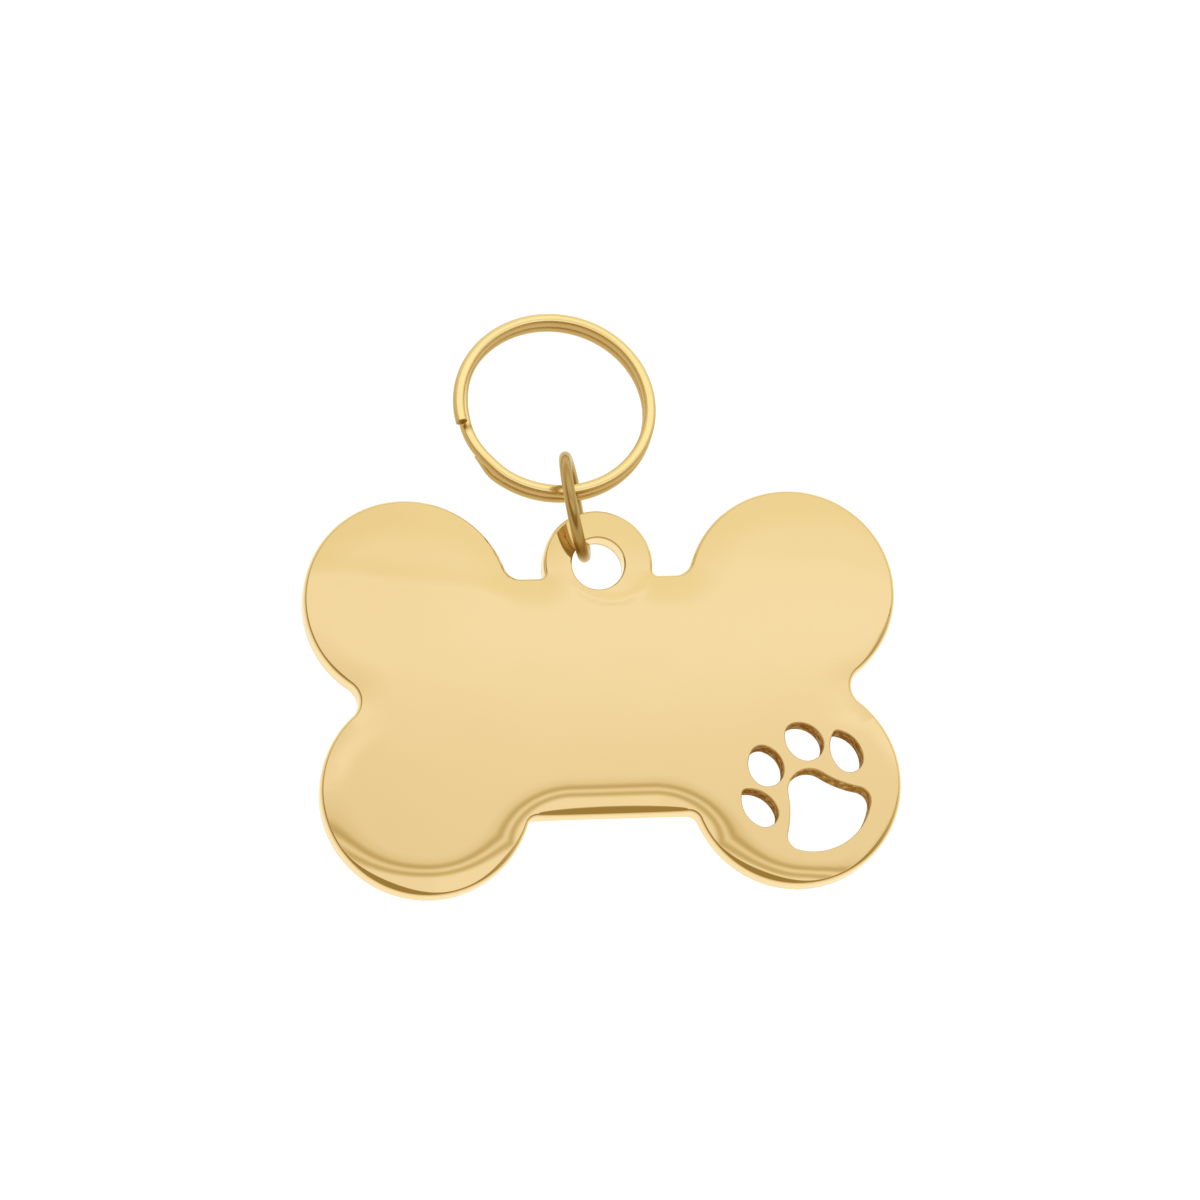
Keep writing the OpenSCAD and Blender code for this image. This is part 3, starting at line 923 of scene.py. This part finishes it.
def polish_group():
    """What a polishing wheel leaves: soft waves, a fine grain drawn out along Y, patchy shine.

    The height is waves + grain times its strength, and the roughness is the shine plus the
    patchiness times (waves + grain - 1), where waves and grain are noises with a mean of one half.
    """
    tree, start, end = new_group(
        "polish marks",
        {"Wave size": 150.0, "Grain size": 2500.0, "Grain": 0.1, "Grain run": 0.06, "Shine": 0.06,
         "Patchiness": 0.02},
        {"Height": "NodeSocketFloat", "Roughness": "NodeSocketFloat"})
    place = put(tree, "ShaderNodeTexCoord").outputs["Object"]
    waves = put(tree, "ShaderNodeTexNoise",
                {"Vector": place, "Scale": start.outputs["Wave size"], "Detail": 1.0}).outputs[0]
    run = put(tree, "ShaderNodeCombineXYZ", {"X": 1.0, "Y": start.outputs["Grain run"], "Z": 1.0})
    drawn = put(
        tree, "ShaderNodeVectorMath", {0: place, 1: run.outputs[0]}, operation="MULTIPLY")
    grain = put(tree, "ShaderNodeTexNoise", {
        "Vector": drawn.outputs[0], "Scale": start.outputs["Grain size"], "Detail": 2.0}).outputs[0]
    height = sums(tree, "MULTIPLY_ADD", grain, start.outputs["Grain"], waves)
    patches = sums(tree, "SUBTRACT", sums(tree, "ADD", waves, grain), 1.0)
    rough = sums(tree, "MULTIPLY_ADD", patches, start.outputs["Patchiness"], start.outputs["Shine"])
    tree.links.new(height, end.inputs["Height"])
    tree.links.new(rough, end.inputs["Roughness"])
    return tree


def tone_group():
    """Plating tone: two golds that blend softly over the surface."""
    tree, start, end = new_group(
        "plating tone",
        {"Pale": (0.9, 0.7, 0.36, 1.0), "Deep": (0.85, 0.62, 0.27, 1.0), "Patch size": 60.0},
        {"Color": "NodeSocketColor"})
    place = put(tree, "ShaderNodeTexCoord").outputs["Object"]
    noise = put(tree, "ShaderNodeTexNoise",
                {"Vector": place, "Scale": start.outputs["Patch size"], "Detail": 2.0}).outputs[0]
    mixed = blended(tree, noise, start.outputs["Pale"], start.outputs["Deep"])
    tree.links.new(mixed, end.inputs["Color"])
    return tree


polish = polish_group()
tone = tone_group()


def gold(name, pale, deep, marks, relief_mm, cut_and_shade_tone, cut_and_shade_metal, cut_and_shade_rough, specked=0.0):
    """A plated metal: the tone group's colour, and the polish group's shine and relief.

    Where a point's mark of dull cuts and painted shade is 1, the metal takes the dull tone, which is
    a bare cut's own colour and also painted shade, is rougher, and has brighter specks if wanted.
    The edge tint keeps the plating's colour at a grazing view.
    """
    material = bpy.data.materials.new(name)
    tree = fresh_tree(material)
    colour = put(tree, "ShaderNodeGroup", node_tree=tone)
    colour.inputs["Pale"].default_value = pale
    colour.inputs["Deep"].default_value = deep
    relief = put(tree, "ShaderNodeGroup", node_tree=polish)
    for label, value in marks.items():
        relief.inputs[label].default_value = value
    place = put(tree, "ShaderNodeTexCoord").outputs["Object"]
    specks = put(
        tree, "ShaderNodeTexNoise", {"Vector": place, "Scale": SPECK_SCALE, "Detail": 2.0})
    cover = ranged(tree, specks.outputs[0], SPECK_RANGE, (1 - specked, 1.0), "LINEAR")
    # The mark of dull cuts and painted shade, broken up by the specks
    mark = put(tree, "ShaderNodeAttribute", attribute_name="cut_and_shade").outputs["Fac"]
    cut = sums(tree, "MULTIPLY", mark, cover)
    base = blended(tree, cut, colour.outputs["Color"], cut_and_shade_tone)
    rough = sums(tree, "MULTIPLY_ADD", cut, cut_and_shade_rough, relief.outputs["Roughness"])
    metal = sums(tree, "MULTIPLY_ADD", cut, cut_and_shade_metal - 1, 1.0)
    bumped = put(tree, "ShaderNodeBump", {
        "Height": relief.outputs["Height"], "Strength": 1.0, "Distance": relief_mm * MM})
    shader = put(tree, "ShaderNodeBsdfPrincipled", {
        "Base Color": base, "Roughness": rough, "Metallic": metal, "Specular IOR Level": 0.0,
        "Specular Tint": EDGE_TINT, "Normal": bumped.outputs[0]})
    tree.links.new(shader.outputs[0], put(tree, "ShaderNodeOutputMaterial").inputs[0])
    return material


# Studio


def studio_world():
    """Soft studio light as a function of direction: a broad white light over the plate.

    The level is that of the broad light within LIGHT_EDGE of its middle, and falls to the room's
    beyond it. Stripes cross the broad light, by the angle in degrees that a direction leans from
    straight up towards the lug. All is a little dimmer on the left, by the lean towards the paw's
    side, and pale walls stand low all round. The room is the warmer the dimmer it is: green and blue
    are powers of the level. Beyond the yellow edge a share of the blue is missing. The camera itself
    sees plain white.
    """
    world = bpy.data.worlds.new("studio")
    bpy.context.scene.world = world
    tree = fresh_tree(world)
    way = put(tree, "ShaderNodeTexCoord").outputs["Generated"]
    part = put(tree, "ShaderNodeSeparateXYZ", {"Vector": way}).outputs
    lean = sums(tree, "DEGREES", sums(tree, "ARCTAN2", part[1], part[2]))
    low, high = STRIPES[0][0], STRIPES[-1][0]
    share = ranged(tree, lean, (low, high), kind="LINEAR")
    stripes = put(tree, "ShaderNodeValToRGB", {"Fac": share})
    ramp = stripes.color_ramp
    ramp.interpolation = "EASE"
    stops = [ramp.elements[0]]
    stops += [ramp.elements.new((angle - low) / (high - low)) for angle, _ in STRIPES[1:-1]]
    stops.append(ramp.elements[len(ramp.elements) - 1])
    for stop, (angle, level) in zip(stops, STRIPES):
        stop.color = (level, level, level, 1.0)
    aim = turning(LIGHT_TURN).to_matrix().col[2]
    toward = put(tree, "ShaderNodeVectorMath", {0: way, 1: tuple(aim)}, operation="DOT_PRODUCT")
    ends = [math.cos(math.radians(angle)) for angle in reversed(LIGHT_EDGE)]
    inside = ranged(tree, toward.outputs["Value"], ends)
    gain = sums(tree, "SUBTRACT", stripes.outputs[0], ROOM_LEVEL)
    level = sums(tree, "MULTIPLY_ADD", gain, inside, ROOM_LEVEL)
    sideways = sums(tree, "DEGREES", sums(tree, "ARCTAN2", part[0], part[2]))
    level = sums(tree, "MULTIPLY", level, ranged(tree, sideways, LEFT_EDGE, (1 - LEFT_DIM, 1.0)))
    level = sums(tree, "MAXIMUM", level, ranged(tree, part[2], WALL_EDGE, (0.0, WALL_LEVEL)))
    green, blue = [sums(tree, "POWER", level, warmth) for warmth in WARMTH]
    yellow = ranged(tree, lean, YELLOW_EDGE, (1.0, 1 - YELLOW_SHARE), "LINEAR")
    blue = sums(tree, "MULTIPLY", blue, yellow)
    colour = put(tree, "ShaderNodeCombineColor", {"Red": level, "Green": green, "Blue": blue})
    light = put(tree, "ShaderNodeBackground", {"Color": colour.outputs[0]})
    plain = put(tree, "ShaderNodeBackground", {"Color": WHITE})
    seen = put(tree, "ShaderNodeLightPath").outputs["Is Camera Ray"]
    mixed = put(tree, "ShaderNodeMixShader", {0: seen, 1: light.outputs[0], 2: plain.outputs[0]})
    tree.links.new(mixed.outputs[0], put(tree, "ShaderNodeOutputWorld").inputs[0])


def floor():
    """A level floor under the rings, which is clear from below.

    It is plain white, without shadows, where the camera or a mirroring face sees it, and matt for
    the light that it throws back.
    """
    low = cad_box[0][2]
    half = FLOOR_HALF * MM
    mesh = bpy.data.meshes.new("floor")
    corners = [(-half, -half, low), (half, -half, low), (half, half, low), (-half, half, low)]
    mesh.from_pydata(corners, [], [(0, 1, 2, 3)])
    piece = linked("floor", mesh)
    material = bpy.data.materials.new("white floor")
    tree = fresh_tree(material)
    path = put(tree, "ShaderNodeLightPath").outputs
    seen = sums(tree, "MAXIMUM", path["Is Camera Ray"], sums(
        tree, "MAXIMUM", path["Is Glossy Ray"], path["Is Transmission Ray"]))
    matt = put(tree, "ShaderNodeBsdfDiffuse", {"Color": FLOOR_MATT})
    white = put(tree, "ShaderNodeEmission", {"Color": WHITE, "Strength": FLOOR_WHITE})
    top = put(tree, "ShaderNodeMixShader", {0: seen, 1: matt.outputs[0], 2: white.outputs[0]})
    clear = put(tree, "ShaderNodeBsdfTransparent")
    below = put(tree, "ShaderNodeNewGeometry").outputs["Backfacing"]
    both = put(tree, "ShaderNodeMixShader", {0: below, 1: top.outputs[0], 2: clear.outputs[0]})
    tree.links.new(both.outputs[0], put(tree, "ShaderNodeOutputMaterial").inputs[0])
    mesh.materials.append(material)


def camera():
    """The photograph's view: a long lens, a little below and to the left of straight above."""
    data = bpy.data.cameras.new("camera")
    data.lens = CAMERA_LENS
    data.sensor_width = CAMERA_SENSOR
    data.clip_start, data.clip_end = [distance * MM for distance in CAMERA_CLIP]
    eye = linked("camera", data)
    turn = turning(CAMERA_TURN)
    right, up, back = np.array(turn.to_matrix()).T
    place = right * CAMERA_AIM[0] + up * CAMERA_AIM[1] + back * CAMERA_DISTANCE
    eye.rotation_euler = turn
    eye.location = place * MM
    bpy.context.scene.camera = eye


bpy.context.scene.view_settings.view_transform = "Standard"
camera()
studio_world()
floor()

# The plate's dull tone: a dull cut on the paw holes' walls with painted shade there, and painted
# shade on the outline's wall and back edge
plate_gold = gold(
    "pale plate gold", pale=(0.91, 0.7, 0.37, 1.0), deep=(0.9, 0.685, 0.35, 1.0),
    marks={"Shine": 0.045, "Patchiness": 0.01, "Grain": 0.05}, relief_mm=0.006,
    cut_and_shade_tone=(0.52, 0.28, 0.055, 1.0), cut_and_shade_metal=0.0, cut_and_shade_rough=0.35, specked=0.35)
satin = {"Grain size": 9000.0, "Grain": 0.08, "Grain run": 1.0, "Patchiness": 0.1}
# The jump ring's dull tone: bare cut ends, and painted shade where it goes into the lug's hole
jump_gold = gold(
    "deep jump ring gold", pale=(0.56, 0.39, 0.15, 1.0), deep=(0.48, 0.32, 0.11, 1.0),
    marks={"Shine": 0.22, "Wave size": 400.0, **satin}, relief_mm=0.02,
    cut_and_shade_tone=(0.3, 0.17, 0.04, 1.0), cut_and_shade_metal=1.0, cut_and_shade_rough=0.15)
# The split ring's dull tone: bare cut ends, and painted shade in the nook and on the wire's sides
split_gold = gold(
    "pale split ring gold", pale=(1.0, 0.82, 0.43, 1.0), deep=(0.96, 0.74, 0.34, 1.0),
    marks={"Shine": 0.19, "Wave size": 300.0, **satin}, relief_mm=0.02,
    cut_and_shade_tone=(0.46, 0.26, 0.05, 1.0), cut_and_shade_metal=1.0, cut_and_shade_rough=0.1)

for made, body, node, slot, material in (
        (plate(), "tag", "tag_plate", "plate_gold", plate_gold),
        (jump_ring(), "jump_link", "jump_ring", "jump_gold", jump_gold),
        (split_ring(), "split_link", "split_ring", "split_gold", split_gold)):
    made.data.materials.append(material)
    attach(made, body)
    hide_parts(node)
